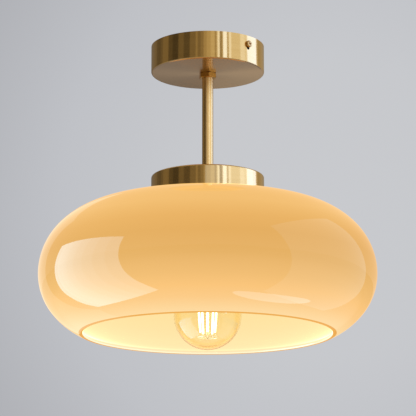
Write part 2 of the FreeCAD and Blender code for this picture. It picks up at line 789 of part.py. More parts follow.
def glass_shade():
    """Blown glass shade: flat top with a hole, round shoulder and side, turned in to an open rim."""
    body = new_body("glass_shade")
    wall = "shade_wall"
    radius = "shade_diameter/2"
    side_centre = f"({radius} - side_arc)"
    shoulder_centre = f"({side_centre} + (side_arc - shoulder_arc)*cos(side_turn))"
    lower_centre = f"({radius} - lower_arc)"
    return_centre = f"({lower_centre} + (lower_arc - return_arc)*cos(lower_turn))"
    return_level = f"({EQUATOR} - (lower_arc - return_arc)*sin(lower_turn))"

    def on_arc(centre, level, arc, turn, sign):
        return f"{centre} + ({arc})*cos({turn})", f"{level} + {sign}*({arc})*sin({turn})"

    upper = on_arc(side_centre, EQUATOR, "side_arc", "side_turn", 1)
    lower = on_arc(lower_centre, EQUATOR, "lower_arc", "lower_turn", -1)
    rim = on_arc(return_centre, return_level, "return_arc", "rim_turn", -1)
    inner_upper = on_arc(side_centre, EQUATOR, f"side_arc - {wall}", "side_turn", 1)
    inner_lower = on_arc(lower_centre, EQUATOR, f"lower_arc - {wall}", "lower_turn", -1)
    inner_rim = on_arc(return_centre, return_level, f"return_arc - {wall}", "rim_turn", -1)
    hole = "(barrel_diameter/2 + hole_play)"
    turned(body, [
        (hole, SHADE_TOP),
        (shoulder_centre, SHADE_TOP, "shoulder_arc", -1),
        (*upper, "side_arc", -1),
        (radius, EQUATOR, "lower_arc", -1),
        (*lower, "return_arc", -1),
        (*rim, "shade_wall*0.52", -1),
        (*inner_rim, f"return_arc - {wall}", 1),
        (*inner_lower, f"lower_arc - {wall}", 1),
        (f"{radius} - {wall}", EQUATOR, f"side_arc - {wall}", 1),
        (*inner_upper, f"shoulder_arc - {wall}", 1),
        (shoulder_centre, SHADE_UNDER),
        (hole, SHADE_UNDER),
    ])


def shade_clamp():
    """Silicone gaskets above and below the glass, and the ring that screws up the barrel."""
    bore = "barrel_diameter + 2*ring_play"
    gasket = "barrel_diameter + 2*gasket_reach"
    sleeve("flange_gasket", bore, gasket, SHADE_TOP, FLANGE_UNDER)
    sleeve("ring_gasket", bore, gasket, RING_TOP, SHADE_UNDER)
    rim = "barrel_diameter/2 + ring_reach"
    ring = sleeve("shade_ring", bore, f"2*({rim})", RING_UNDER, RING_TOP)
    notch = box_corners(f"{rim} - ring_notch_depth", f"{rim} + ring_notch_depth",
                        "-ring_notch_width/2", "ring_notch_width/2")
    cut = pocket(ring, outline(ring, "XY_Plane", notch, RING_TOP), "ring_height")
    pattern = ring.newObject("PartDesign::PolarPattern", "notches")
    pattern.Originals = [cut]
    pattern.Axis = (next(part for part in ring.Origin.OriginFeatures if part.Role == "Z_Axis"), [""])
    pattern.Angle = 360
    pattern.setExpression("Occurrences", bound("ring_notches"))
    ring.Tip = pattern
    settle(ring, pattern, False)


def bulb_cap():
    """Edison screw cap: tip contact, insulator, threaded shell and the driver inside it."""
    insulator_top = f"({TIP_TOP} - tip_height)"
    cone_under = f"({insulator_top} - insulator_cone)"
    insulator_under = f"({insulator_top} - insulator_height)"
    tip = new_body("bulb_tip")
    turned(tip, [
        ("0", insulator_top),
        ("tip_diameter/2", insulator_top),
        ("tip_diameter/2", f"{TIP_TOP} - tip_height/2"),
        ("tip_diameter/2 - tip_height/2", TIP_TOP),
        ("0", TIP_TOP),
    ])
    insulator = new_body("bulb_insulator")
    turned(insulator, [
        ("0", insulator_under),
        ("cap_bore/2 - neck_play", insulator_under),
        ("cap_bore/2 - neck_play", cone_under),
        ("tip_diameter/2", insulator_top),
        ("0", insulator_top),
    ])
    shell = new_body("bulb_shell")
    corners = [
        ("cap_bore/2", BULB_SKIRT),
        ("crest_diameter/2", BULB_SKIRT),
        ("crest_diameter/2", f"{BULB_SKIRT} + cap_pitch"),
        ("root_diameter/2", f"{BULB_SKIRT} + cap_pitch*1.3"),
    ]
    for thread in range(SIZES["cap_threads"]):
        low = f"({cone_under} - (cap_threads - {thread})*cap_pitch)"
        corners.append(("root_diameter/2", f"{low} + cap_pitch*0.1"))
        corners.append(("crest_diameter/2", f"{low} + cap_pitch*0.4"))
        corners.append(("crest_diameter/2", f"{low} + cap_pitch*0.6"))
        corners.append(("root_diameter/2", f"{low} + cap_pitch*0.9"))
    corners += [("root_diameter/2", cone_under), ("cap_bore/2", cone_under)]
    turned(shell, corners)
    driver = new_body("bulb_driver")
    board = box_corners("-driver_width/2", "driver_width/2", "-driver_thickness/2", "driver_thickness/2")
    raised(driver, outline(driver, "XY_Plane", board, f"{insulator_under} - driver_height"), "driver_height")


def bulb_globe():
    """Clear globe, drawn in to a neck whose end is cemented into the cap."""
    body = new_body("bulb_globe")
    meet = ("bulb_diameter/2*cos(bulb_turn)", f"{GLOBE_CENTRE} + bulb_diameter/2*sin(bulb_turn)")
    inner_meet = ("(bulb_diameter/2 - bulb_glass)*cos(bulb_turn)",
                  f"{GLOBE_CENTRE} + (bulb_diameter/2 - bulb_glass)*sin(bulb_turn)")
    tail = "(cap_bore/2 - neck_play)"
    turned(body, [
        ("0", BULB_UNDER, "bulb_diameter/2", 1),
        (*meet, NECK_ARC, -1),
        ("bulb_neck/2", NECK_LEVEL),
        ("bulb_neck/2", BULB_SKIRT),
        (tail, BULB_SKIRT),
        (tail, NECK_END),
        (f"{tail} - bulb_glass", NECK_END),
        (f"{tail} - bulb_glass", f"{BULB_SKIRT} - bulb_glass"),
        ("bulb_neck/2 - bulb_glass", f"{BULB_SKIRT} - bulb_neck/2 + {tail} - bulb_glass"),
        ("bulb_neck/2 - bulb_glass", NECK_LEVEL, f"{NECK_ARC} + bulb_glass", 1),
        (*inner_meet, "bulb_diameter/2 - bulb_glass", -1),
        ("0", f"{BULB_UNDER} + bulb_glass"),
    ])


def rod(start, stop, diameter):
    """A round wire between two points."""
    return Part.makeCylinder(diameter / 2, (stop - start).Length, start, stop - start)


def around(radius, level, number, count):
    """The point with a number on a circle of so many about the lamp's axis, the first at the front."""
    angle = 2 * math.pi * number / count - math.pi / 2
    return FreeCAD.Vector(radius * math.cos(angle), radius * math.sin(angle), level)


def bulb_inside():
    """Light sticks on a wire frame, carried by the glass mount."""
    mount = new_body("bulb_mount")
    rod_end = f"({STICK_LOW} - support_drop - support_wire)"
    turned(mount, [
        ("0", rod_end),
        ("mount_rod/2", rod_end),
        ("mount_rod/2", f"{NECK_END} - mount_height"),
        ("mount_tube/2", f"{NECK_END} - mount_height + mount_rod/2"),
        ("mount_tube/2", f"{NECK_END} - mount_height/2"),
        ("cap_bore/2 - 2*neck_play - bulb_glass", f"{NECK_END} - bulb_glass"),
        ("cap_bore/2 - 2*neck_play - bulb_glass", NECK_END),
        ("0", NECK_END),
    ])

    count = int(value("filament_count"))
    low = value(STICK_LOW)
    high = value(STICK_HIGH)
    sticks = []
    for number in range(count):
        start = around(value("low_circle/2"), low, number, count)
        stop = around(value("high_circle/2"), high, number, count)
        stick = doc.addObject("Part::Cylinder", "stick")
        stick.setExpression("Radius", bound("filament_diameter/2"))
        stick.setExpression("Height", bound("filament_length"))
        lean = FreeCAD.Rotation(FreeCAD.Vector(0, 0, 1), stop - start)
        stick.Placement = FreeCAD.Placement(start, lean)
        sticks.append(stick)
    group("bulb_filaments", sticks)

    thickness = value("support_wire")
    reach = value("low_circle/2 + support_step")
    ring_level = value(f"{STICK_LOW} - support_drop")
    clear = value("neck_play*2")
    ring = Part.makeTorus(reach, thickness / 2, FreeCAD.Vector(0, 0, ring_level))
    posts = []
    for number in range(count):
        foot = around(reach, ring_level, number, count)
        stick_end = around(value("low_circle/2"), low, number, count)
        posts.append(rod(foot, stick_end - FreeCAD.Vector(0, 0, clear), thickness))
        if number % 2 == 0:
            hub = around(value("mount_rod/2"), ring_level, number, count)
            posts.append(rod(hub, foot, thickness))
    support = doc.addObject("Part::Feature", "bulb_support")
    support.Label = "bulb_support"
    support.Shape = ring.fuse(posts).removeSplitter()

    top_level = high + thickness
    top_reach = value("high_circle/2")
    leads = []
    for side in (-1, 1):
        foot = FreeCAD.Vector(side * value("(mount_tube + support_wire)/2 + thread_play"), 0,
                              value(f"{NECK_END} - mount_height*0.6"))
        leads.append(rod(foot, FreeCAD.Vector(side * top_reach, 0, top_level), thickness))
    hoop = Part.makeTorus(top_reach, thickness / 2, FreeCAD.Vector(0, 0, top_level))
    lead = doc.addObject("Part::Feature", "bulb_leads")
    lead.Label = "bulb_leads"
    lead.Shape = hoop.fuse(leads).removeSplitter()


def export_pieces():
    """Check every object, then write each piece that isn't a member of a group."""
    doc.recompute()
    failed = [item.Name for item in doc.Objects if {"Invalid", "Error"} & set(item.State)]
    if failed:
        raise RuntimeError(f"objects in error: {failed}")
    grouped = {link.Name for item in doc.Objects if item.TypeId == "Part::Compound" for link in item.Links}
    kinds = ("PartDesign::Body", "Part::Compound", "Part::Feature")
    pieces = [item for item in doc.Objects if item.TypeId in kinds and item.Name not in grouped]
    for piece in pieces:
        if piece.Shape.isNull() or not piece.Shape.isValid():
            raise RuntimeError(f"{piece.Label} has no valid shape")
    os.makedirs("parts", exist_ok=True)
    for piece in pieces:
        piece.Shape.exportStep(f"parts/{piece.Label}.step")
    print(f"{len(pieces)} pieces")


crossbar()
side_screws()
canopy()
stem_and_nuts()
terminal_block()
earth_point()
wires()
shade_cap()
holder_dome()
holder_barrel()
screw_shell()
contact_carrier()
glass_shade()
shade_clamp()
bulb_cap()
bulb_globe()
bulb_inside()
export_pieces()
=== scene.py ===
import bmesh
import bpy
import math
from mathutils import Matrix, Vector


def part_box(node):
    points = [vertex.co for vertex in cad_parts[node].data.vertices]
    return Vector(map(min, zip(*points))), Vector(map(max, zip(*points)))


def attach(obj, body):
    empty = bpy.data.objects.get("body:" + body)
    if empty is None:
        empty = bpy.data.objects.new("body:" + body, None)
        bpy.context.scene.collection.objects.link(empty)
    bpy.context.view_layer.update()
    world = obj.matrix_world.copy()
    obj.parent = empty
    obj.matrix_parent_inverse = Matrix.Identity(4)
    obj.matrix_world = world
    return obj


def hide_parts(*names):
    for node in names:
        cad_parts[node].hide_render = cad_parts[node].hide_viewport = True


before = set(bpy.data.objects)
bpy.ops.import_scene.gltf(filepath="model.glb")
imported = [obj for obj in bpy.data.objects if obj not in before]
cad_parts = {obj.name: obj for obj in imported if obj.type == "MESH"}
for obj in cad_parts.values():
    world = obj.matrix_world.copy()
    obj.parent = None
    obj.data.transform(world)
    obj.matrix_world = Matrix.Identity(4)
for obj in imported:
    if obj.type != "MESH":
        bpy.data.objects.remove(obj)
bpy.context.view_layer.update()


# Crossbar: a strip of zinc plated steel bent to a shallow tray, screwed to the ceiling box. Its ears
# take the side screws, and the earth wire's tag is screwed to it with a brass screw.
MM = 0.001

# The pieces lit by the panels that show in the glass: the shade, the light sticks and all that keeps its
# solid as it is.
glass_pieces = bpy.data.collections.new("glass_pieces")


def blank_material(name):
    """A new material, its nodes and links, and its Principled shader."""
    material = bpy.data.materials.new(name)
    material.use_nodes = True
    nodes = material.node_tree.nodes
    return material, nodes, material.node_tree.links, nodes["Principled BSDF"]


def sums(nodes, links, operation, first, second=None, third=None):
    """A Math node fed by sockets or numbers, and its result."""
    node = nodes.new("ShaderNodeMath")
    node.operation = operation
    for socket, source in zip(node.inputs, (first, second, third)):
        if source is None:
            continue
        if isinstance(source, (int, float)):
            socket.default_value = source
        else:
            links.new(source, socket)
    return node.outputs[0]


def colour_ramp(nodes, links, source, stops):
    """A ramp of (position, colour) read at a socket's value."""
    ramp = nodes.new("ShaderNodeValToRGB")
    elements = ramp.color_ramp.elements
    while len(elements) < len(stops):
        elements.new(0.5)
    for element, (position, colour) in zip(elements, stops):
        element.position = position
        element.color = (*colour, 1)
    links.new(source, ramp.inputs["Fac"])
    return ramp.outputs["Color"]


def grain(nodes, links, scale, detail=2):
    """An even noise fixed to the piece."""
    place = nodes.new("ShaderNodeTexCoord")
    noise = nodes.new("ShaderNodeTexNoise")
    noise.inputs["Scale"].default_value = scale
    noise.inputs["Detail"].default_value = detail
    links.new(place.outputs["Object"], noise.inputs["Vector"])
    return noise.outputs["Fac"]


def relief(nodes, links, shader, height, strength, depth):
    """A fine bump on a shader, from a height socket."""
    bump = nodes.new("ShaderNodeBump")
    bump.inputs["Strength"].default_value = strength
    bump.inputs["Distance"].default_value = depth
    links.new(height, bump.inputs["Height"])
    links.new(bump.outputs["Normal"], shader.inputs["Normal"])


def worked(name, light, dark, metallic, rough, scale, depth=0.02 * MM):
    """A finish that varies between two tones and two roughnesses, with a fine bump."""
    material, nodes, links, shader = blank_material(name)
    tone = grain(nodes, links, scale, detail=4)
    links.new(colour_ramp(nodes, links, tone, [(0.3, dark), (0.7, light)]), shader.inputs["Base Color"])
    low, high = rough
    links.new(sums(nodes, links, "MULTIPLY_ADD", tone, high - low, low), shader.inputs["Roughness"])
    relief(nodes, links, shader, tone, 0.3, depth)
    shader.inputs["Metallic"].default_value = metallic
    return material


def coat(material, *nodes):
    """Gives CAD nodes their finish and the soft light."""
    for name in nodes:
        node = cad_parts[name]
        node.data.materials.clear()
        node.data.materials.append(material)
        glass_pieces.objects.link(node)


zinc = worked("zinc_plate", light=(0.62, 0.64, 0.66), dark=(0.50, 0.52, 0.55), metallic=1,
              rough=(0.25, 0.45), scale=260)
screw_brass = worked("screw_brass", light=(0.80, 0.58, 0.24), dark=(0.68, 0.46, 0.17), metallic=1,
                     rough=(0.2, 0.35), scale=500, depth=0.01 * MM)
tinned = worked("tinned_copper", light=(0.72, 0.70, 0.66), dark=(0.60, 0.58, 0.55), metallic=1,
                rough=(0.25, 0.4), scale=400)
coat(zinc, "crossbar")
coat(screw_brass, "earth_screw")
coat(tinned, "earth_tag")


# Terminal block and wires: a pale polyamide block with brass poles, screwed under the crossbar. The brown
# and blue sleeved wires go down the stem, and the green and yellow one to the crossbar.
block_plastic = worked("block_polyamide", light=(0.82, 0.80, 0.73), dark=(0.74, 0.72, 0.65), metallic=0,
                       rough=(0.45, 0.6), scale=700)
coat(block_plastic, "terminal_block")
coat(screw_brass, "terminal_poles")
coat(zinc, "terminal_screws", "block_screw")
SLEEVES = (
    ("line_wire", "brown_sleeve", (0.16, 0.06, 0.025), (0.11, 0.04, 0.015), 300),
    ("return_wire", "blue_sleeve", (0.02, 0.07, 0.36), (0.015, 0.05, 0.27), 300),
    ("earth_wire", "green_sleeve", (0.42, 0.46, 0.03), (0.05, 0.27, 0.03), 160),
)
for node, name, light, dark, scale in SLEEVES:
    coat(worked(name, light, dark, metallic=0, rough=(0.4, 0.55), scale=scale), node)


# Canopy: the shallow cup against the ceiling, spun from brass sheet and brushed while it turns, so the
# scratches run round it. Two slots in its wall let it slip over the side screws on the crossbar. Its flat
# floor and the faces turned down are brushed rougher than its wall and painted a darker brass as painted
# shade.
SHEET_WALL = 1.2 * MM
FOLD_ROUND = 1.5 * MM
STEM_HOLE = 5.2 * MM
SLOT_WIDTH = 3.4 * MM
SLOT_TOP = -7.3 * MM
SLOT_LOW = -11.3 * MM
SLOT_REACH = 60 * MM
BAR_TURN = math.radians(-45)
TURN_STEPS = 192
CREASE = 35
FLOOR_FACING = -0.6
BRASS = (0.82, 0.525, 0.185)
BRASS_DEEP = (0.76, 0.47, 0.155)
SHADED_BRASS = (0.67, 0.44, 0.24)
SHADED_DEEP = (0.62, 0.40, 0.21)

# The brass pieces, which the tall narrow soft boxes draw their bands in.
brass_pieces = bpy.data.collections.new("brass_pieces")


def arc(centre_r, centre_z, radius, start, stop, steps):
    """Points (radius, level) along an arc, angles in degrees."""
    turns = [math.radians(start + (stop - start) * step / steps) for step in range(steps + 1)]
    return [(centre_r + radius * math.cos(turn), centre_z + radius * math.sin(turn)) for turn in turns]


def smooth(mesh, crease):
    """Shades a mesh smooth, apart from its edges sharper than an angle in degrees."""
    mesh.shade_smooth()
    mesh.set_sharp_from_angle(angle=math.radians(crease))


def settle(name, form, crease=CREASE):
    """Turns a finished form into a smooth shaded piece with crisp edges."""
    bmesh.ops.remove_doubles(form, verts=form.verts, dist=1e-6)
    bmesh.ops.recalc_face_normals(form, faces=form.faces)
    mesh = bpy.data.meshes.new(name)
    form.to_mesh(mesh)
    form.free()
    smooth(mesh, crease)
    piece = bpy.data.objects.new(name, mesh)
    bpy.context.scene.collection.objects.link(piece)
    return piece


def spun(name, outline, closed=True, crease=CREASE, steps=TURN_STEPS):
    """A piece turned about the lamp's axis from an outline of (radius, level)."""
    form = bmesh.new()
    corners = [form.verts.new((radius, 0, level)) for radius, level in outline]
    pairs = list(zip(corners, corners[1:]))
    if closed:
        pairs.append((corners[-1], corners[0]))
    edges = [form.edges.new(pair) for pair in pairs]
    bmesh.ops.spin(form, geom=corners + edges, cent=(0, 0, 0), axis=(0, 0, 1), dvec=(0, 0, 0),
                   angle=math.tau, steps=steps, use_merge=True)
    return settle(name, form, crease)


def pushed(corners, push):
    """A form made by pushing a flat outline along a direction."""
    form = bmesh.new()
    face = form.faces.new([form.verts.new(corner) for corner in corners])
    swept = bmesh.ops.extrude_face_region(form, geom=[face])
    moved = [item for item in swept["geom"] if isinstance(item, bmesh.types.BMVert)]
    bmesh.ops.translate(form, verts=moved, vec=push)
    return form


def ranged(nodes, links, source, inside, outside=(0, 1)):
    """A socket's value carried from one range to another and held at its ends."""
    change = nodes.new("ShaderNodeMapRange")
    for end, value in zip(("From Min", "From Max", "To Min", "To Max"), (*inside, *outside)):
        change.inputs[end].default_value = value
    links.new(source, change.inputs["Value"])
    return change.outputs["Result"]


def vector_sum(nodes, links, operation, source):
    """A Vector Math node fed by one socket."""
    node = nodes.new("ShaderNodeVectorMath")
    node.operation = operation
    links.new(source, node.inputs[0])
    return node


def brushed_brass(name, light=BRASS, dark=BRASS_DEEP, rough=(0.10, 0.16), strength=0.10):
    """Brass brushed on the lathe: fine scratches round the axis, and a highlight drawn out across them."""
    material, nodes, links, metal = blank_material(name)
    place = nodes.new("ShaderNodeTexCoord")
    split = nodes.new("ShaderNodeSeparateXYZ")
    links.new(place.outputs["Object"], split.inputs[0])
    flat = nodes.new("ShaderNodeCombineXYZ")
    links.new(split.outputs["X"], flat.inputs["X"])
    links.new(split.outputs["Y"], flat.inputs["Y"])
    radius = vector_sum(nodes, links, "LENGTH", flat.outputs[0]).outputs["Value"]
    direction = vector_sum(nodes, links, "NORMALIZE", flat.outputs[0]).outputs[0]
    across = sums(nodes, links, "SUBTRACT", split.outputs["Z"], radius)

    def scratches(fineness, breaks, detail):
        noise = nodes.new("ShaderNodeTexNoise")
        noise.noise_dimensions = "4D"
        noise.inputs["Scale"].default_value = breaks
        noise.inputs["Detail"].default_value = detail
        links.new(direction, noise.inputs["Vector"])
        links.new(sums(nodes, links, "MULTIPLY", across, fineness / breaks), noise.inputs["W"])
        return noise.outputs["Fac"]

    fine = scratches(4200, 3.0, 4)
    broad = scratches(900, 1.6, 2)
    tone = sums(nodes, links, "MULTIPLY", sums(nodes, links, "ADD", fine, broad), 0.5)
    links.new(colour_ramp(nodes, links, tone, [(0.30, dark), (0.62, light)]), metal.inputs["Base Color"])
    links.new(ranged(nodes, links, tone, (0.3, 0.7), rough), metal.inputs["Roughness"])
    relief(nodes, links, metal, fine, strength, 0.02 * MM)
    round_axis = nodes.new("ShaderNodeVectorMath")
    round_axis.operation = "CROSS_PRODUCT"
    round_axis.inputs[0].default_value = (0, 0, 1)
    links.new(direction, round_axis.inputs[1])
    links.new(round_axis.outputs[0], metal.inputs["Tangent"])
    metal.inputs["Metallic"].default_value = 1.0
    metal.inputs["Anisotropic"].default_value = 0.95
    metal.inputs["Anisotropic Rotation"].default_value = 0.25
    return material


def cup_outline(node, opens_up):
    """Outline of a spun cup: a rounded fold at its closed end, and a hole for the stem."""
    low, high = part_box(node)
    radius = (high[0] - low[0]) / 2
    shut, mouth = (low[2], high[2]) if opens_up else (high[2], low[2])
    way = 1 if opens_up else -1
    inner_round = FOLD_ROUND - SHEET_WALL
    outer = arc(radius - FOLD_ROUND, shut + way * FOLD_ROUND, FOLD_ROUND, 0, -90 * way, 8)
    inner = arc(radius - FOLD_ROUND, shut + way * FOLD_ROUND, inner_round, -90 * way, 0, 4)
    return [(radius, mouth), *outer, (STEM_HOLE, shut), (STEM_HOLE, shut + way * SHEET_WALL), *inner,
            (radius - SHEET_WALL, mouth)]


def cut_away(piece, cutter):
    """Cuts one shape out of a piece for good and discards the cutter."""
    cut = piece.modifiers.new("cut", "BOOLEAN")
    cut.operation = "DIFFERENCE"
    cut.solver = "EXACT"
    cut.object = cutter
    shaped = bpy.data.meshes.new_from_object(piece.evaluated_get(bpy.context.evaluated_depsgraph_get()))
    piece.modifiers.clear()
    piece.data = shaped
    bpy.data.objects.remove(cutter)
    shaped.name = piece.name


def slot_cutter():
    """A bar with rounded ends, right through the canopy's wall on both sides."""
    half = SLOT_WIDTH / 2
    ends = [*arc(0, SLOT_TOP, half, 0, 180, 12), *arc(0, SLOT_LOW, half, 180, 360, 12)]
    form = pushed([(-SLOT_REACH, y, z) for y, z in ends], (2 * SLOT_REACH, 0, 0))
    bmesh.ops.rotate(form, verts=form.verts, cent=(0, 0, 0), matrix=Matrix.Rotation(BAR_TURN, 3, "Z"))
    return settle("slot_cutter", form)


def dress(piece, body, material, *nodes, light=brass_pieces):
    """Gives a piece its material, the body it rides on and the CAD nodes it stands for."""
    piece.data.materials.append(material)
    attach(piece, body)
    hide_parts(*nodes)
    light.objects.link(piece)


brass = brushed_brass("brushed_brass")
canopy = spun("canopy_shell", cup_outline("canopy", True))
cut_away(canopy, slot_cutter())
smooth(canopy.data, CREASE)
dress(canopy, "root", brass, "canopy")
# Faces turned down take a darker copy of the brass as painted shade, with rougher brushing.
canopy.data.materials.append(brushed_brass("shaded_floor_brass", SHADED_BRASS, SHADED_DEEP, rough=(0.15, 0.21)))
for face in canopy.data.polygons:
    face.material_index = 1 if face.normal.z < FLOOR_FACING else 0


# Side screws: two M3 pan heads of the same brass, turned and cross recessed, driven through the
# canopy's slots into the crossbar's ears. Only their heads are seen.
SCREW_LEVEL = -7.9 * MM
SCREW_HEAD = 3.1 * MM
SCREW_HEAD_HEIGHT = 2.4 * MM
SCREW_ROUND = 1.2 * MM
SCREW_LENGTH = 8 * MM
SCREW_TAPER = 0.3 * MM
THREAD_RADIUS = 1.5 * MM
THREAD_PITCH = 0.5 * MM
THREAD_DEPTH = 0.18 * MM
RECESS_REACH = 1.8 * MM
RECESS_WIDTH = 0.9 * MM
RECESS_DEPTH = 1.3 * MM
RECESS_TURN = math.radians(20)


def turned_brass(name, light, dark):
    """Turned brass for screws and nuts, with faint tool marks."""
    material, nodes, links, metal = blank_material(name)
    marks = grain(nodes, links, 900, detail=3)
    links.new(colour_ramp(nodes, links, marks, [(0.3, dark), (0.7, light)]), metal.inputs["Base Color"])
    links.new(sums(nodes, links, "MULTIPLY_ADD", marks, 0.12, 0.16), metal.inputs["Roughness"])
    relief(nodes, links, metal, marks, 0.08, 0.02 * MM)
    metal.inputs["Metallic"].default_value = 1.0
    return material


def recess_cutter():
    """A bar with the section of a cross, down into the screw's head."""
    half = RECESS_WIDTH / 2
    quarter = [(RECESS_REACH, -half), (RECESS_REACH, half), (half, half)]
    corners = []
    for turn in range(4):
        for x, y in quarter:
            place = Matrix.Rotation(math.radians(90 * turn) + RECESS_TURN, 3, "Z") @ Vector((x, y, 0))
            corners.append((place.x, place.y, SCREW_HEAD_HEIGHT - RECESS_DEPTH))
    return settle("recess", pushed(corners, (0, 0, 2 * RECESS_DEPTH)))


def pan_screw(name):
    """A pan head screw along +Z with its head's seat at zero, cross recessed."""
    dome = arc(SCREW_HEAD - SCREW_ROUND, SCREW_HEAD_HEIGHT - SCREW_ROUND, SCREW_ROUND, 0, 90, 8)
    outline = [(0, SCREW_HEAD_HEIGHT), *reversed(dome), (SCREW_HEAD, 0), (THREAD_RADIUS, 0)]
    for turn in range(int(SCREW_LENGTH / THREAD_PITCH) - 1):
        level = -THREAD_PITCH * (turn + 0.5)
        outline += [(THREAD_RADIUS, level), (THREAD_RADIUS - THREAD_DEPTH, level - THREAD_PITCH / 2)]
    outline += [(THREAD_RADIUS - SCREW_TAPER, -SCREW_LENGTH), (0, -SCREW_LENGTH)]
    screw = spun(name, outline, closed=False, steps=48)
    cut_away(screw, recess_cutter())
    return screw


screw_metal = turned_brass("turned_brass", light=(0.70, 0.42, 0.14), dark=(0.60, 0.34, 0.10))
screw_form = bmesh.new()
canopy_radius = (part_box("canopy")[1][0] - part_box("canopy")[0][0]) / 2
for side in (0, math.pi):
    screw = pan_screw("side_screw")
    screw.data.transform(
        Matrix.Rotation(BAR_TURN + side, 4, "Z")
        @ Matrix.Translation((canopy_radius, 0, SCREW_LEVEL))
        @ Matrix.Rotation(math.radians(90), 4, "Y")
    )
    screw_form.from_mesh(screw.data)
    bpy.data.objects.remove(screw)
side_screws = settle("side_screw_pair", screw_form, 30)
dress(side_screws, "root", screw_metal, "side_screws")


# Stem: a slim brass tube that carries the lamp and its wires. It is threaded at both ends inside the
# cups, clamped there by the nuts, and brushed finer than the cups between them.
STEM_RADIUS = 5 * MM
STEM_BORE = 3.75 * MM
STEM_CHAMFER = 0.3 * MM
stem_low, stem_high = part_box("stem")
stem = spun("stem_tube", [
    (STEM_BORE, stem_high[2]), (STEM_RADIUS - STEM_CHAMFER, stem_high[2]),
    (STEM_RADIUS, stem_high[2] - STEM_CHAMFER), (STEM_RADIUS, stem_low[2] + STEM_CHAMFER),
    (STEM_RADIUS - STEM_CHAMFER, stem_low[2]), (STEM_BORE, stem_low[2]),
], steps=96)
dress(stem, "root", brushed_brass("stem_brass", rough=(0.19, 0.24), strength=0.03), "stem")
stem_light = bpy.data.collections.new("stem_light")
stem_light.objects.link(stem)


# Hexagon nuts on the stem, one under the canopy and one on the cap: turned from brass bar, with their
# corners chamfered round by the lathe. Plain zinc plated nuts and washers clamp from inside the cups.
NUT_ACROSS = 14 * MM
NUT_TURN = math.radians(8)
NUT_GRIND = 0.1 * MM
NUT_CHAMFER = 0.6 * MM
NUT_CLEAR = 12 * MM


def thin_nut(name, node, turn):
    """A chamfered hexagon nut filling the CAD nut's height."""
    low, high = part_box(node)
    form = bmesh.new()
    reach = NUT_ACROSS / 2 / math.cos(math.radians(30))
    bmesh.ops.create_cone(form, cap_ends=True, segments=6, radius1=reach, radius2=reach,
                          depth=high[2] - low[2])
    bmesh.ops.rotate(form, verts=form.verts, cent=(0, 0, 0), matrix=Matrix.Rotation(turn, 3, "Z"))
    bmesh.ops.translate(form, verts=form.verts, vec=(0, 0, (low[2] + high[2]) / 2))
    nut = settle(name, form)
    flat = NUT_ACROSS / 2 - NUT_GRIND
    for end, way in ((high[2], 1), (low[2], -1)):
        inner, outer = end - way * NUT_CHAMFER, end + way * NUT_CHAMFER
        cut_away(nut, spun("chamfer", [
            (flat, outer), (flat, end), (reach, inner), (NUT_CLEAR, inner), (NUT_CLEAR, outer),
        ], steps=96))
    under, over = low[2] - NUT_CHAMFER, high[2] + NUT_CHAMFER
    cut_away(nut, spun("bore", [(0, under), (STEM_HOLE, under), (STEM_HOLE, over), (0, over)],
                       closed=False, steps=96))
    smooth(nut.data, 20)
    return nut


# The nuts' brass is darker than the screws': painted shade on the nuts under the cups.
shaded_nut_metal = turned_brass("shaded_nut_brass", light=(0.60, 0.33, 0.065), dark=(0.50, 0.26, 0.045))
for node in ("canopy_outer_nut", "cap_outer_nut"):
    nut = thin_nut(node + "_hexagon", node, NUT_TURN)
    dress(nut, "root", shaded_nut_metal, node)
coat(zinc, "canopy_inner_nut", "canopy_lock_washer", "cap_inner_nut", "cap_lock_washer")


# Cap on the shade: a brass cup spun and brushed like the canopy, turned over and clamped on the stem's
# end. It hides the lamp holder's top and the shade's flange.
cap = spun("cap_shell", cup_outline("shade_cap", False))
dress(cap, "root", brass, "shade_cap")
cap_light = bpy.data.collections.new("cap_light")
cap_light.objects.link(cap)


# Lamp holder: a black thermoset dome and barrel screwed together on the stem's end, with a steatite
# carrier for the contacts and a pressed screw shell that takes the bulb.
holder_plastic = worked("holder_thermoset", light=(0.035, 0.035, 0.038), dark=(0.02, 0.02, 0.022),
                        metallic=0, rough=(0.3, 0.45), scale=600)
porcelain = worked("glazed_steatite", light=(0.82, 0.80, 0.74), dark=(0.76, 0.74, 0.67), metallic=0,
                   rough=(0.15, 0.3), scale=200)
shell_alloy = worked("pressed_alloy", light=(0.70, 0.69, 0.66), dark=(0.60, 0.59, 0.56), metallic=1,
                     rough=(0.2, 0.35), scale=300)
coat(holder_plastic, "holder_dome", "holder_barrel")
coat(porcelain, "contact_carrier")
coat(shell_alloy, "screw_shell")
coat(screw_brass, "centre_contact", "side_contact", "holder_terminals")
coat(zinc, "holder_terminal_screws", "grub_screw")


# Glass shade: blown in one piece of cased glass, amber over cream, fire polished outside and round its
# open rim. Its glow from the bulb within is painted on as emission, most at the rim and under the cap.
SHADE_RADIUS = 150 * MM
SHADE_WALL = 3.5 * MM
SHADE_HOLE = 21 * MM
SIDE_ARC, SIDE_TURN = 58.9 * MM, 45.3
SHOULDER_ARC = 70.5 * MM
LOWER_ARC, LOWER_TURN = 53.1 * MM, 39.2
RETURN_ARC, RIM_TURN = 69.4 * MM, 66.4
shade_low, shade_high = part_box("glass_shade")
side_r = SHADE_RADIUS - SIDE_ARC
shoulder_r = side_r + (SIDE_ARC - SHOULDER_ARC) * math.cos(math.radians(SIDE_TURN))
shoulder_z = shade_high[2] - SHOULDER_ARC
equator = shoulder_z - (SIDE_ARC - SHOULDER_ARC) * math.sin(math.radians(SIDE_TURN))
lower_r = SHADE_RADIUS - LOWER_ARC
return_r = lower_r + (LOWER_ARC - RETURN_ARC) * math.cos(math.radians(LOWER_TURN))
return_z = equator - (LOWER_ARC - RETURN_ARC) * math.sin(math.radians(LOWER_TURN))


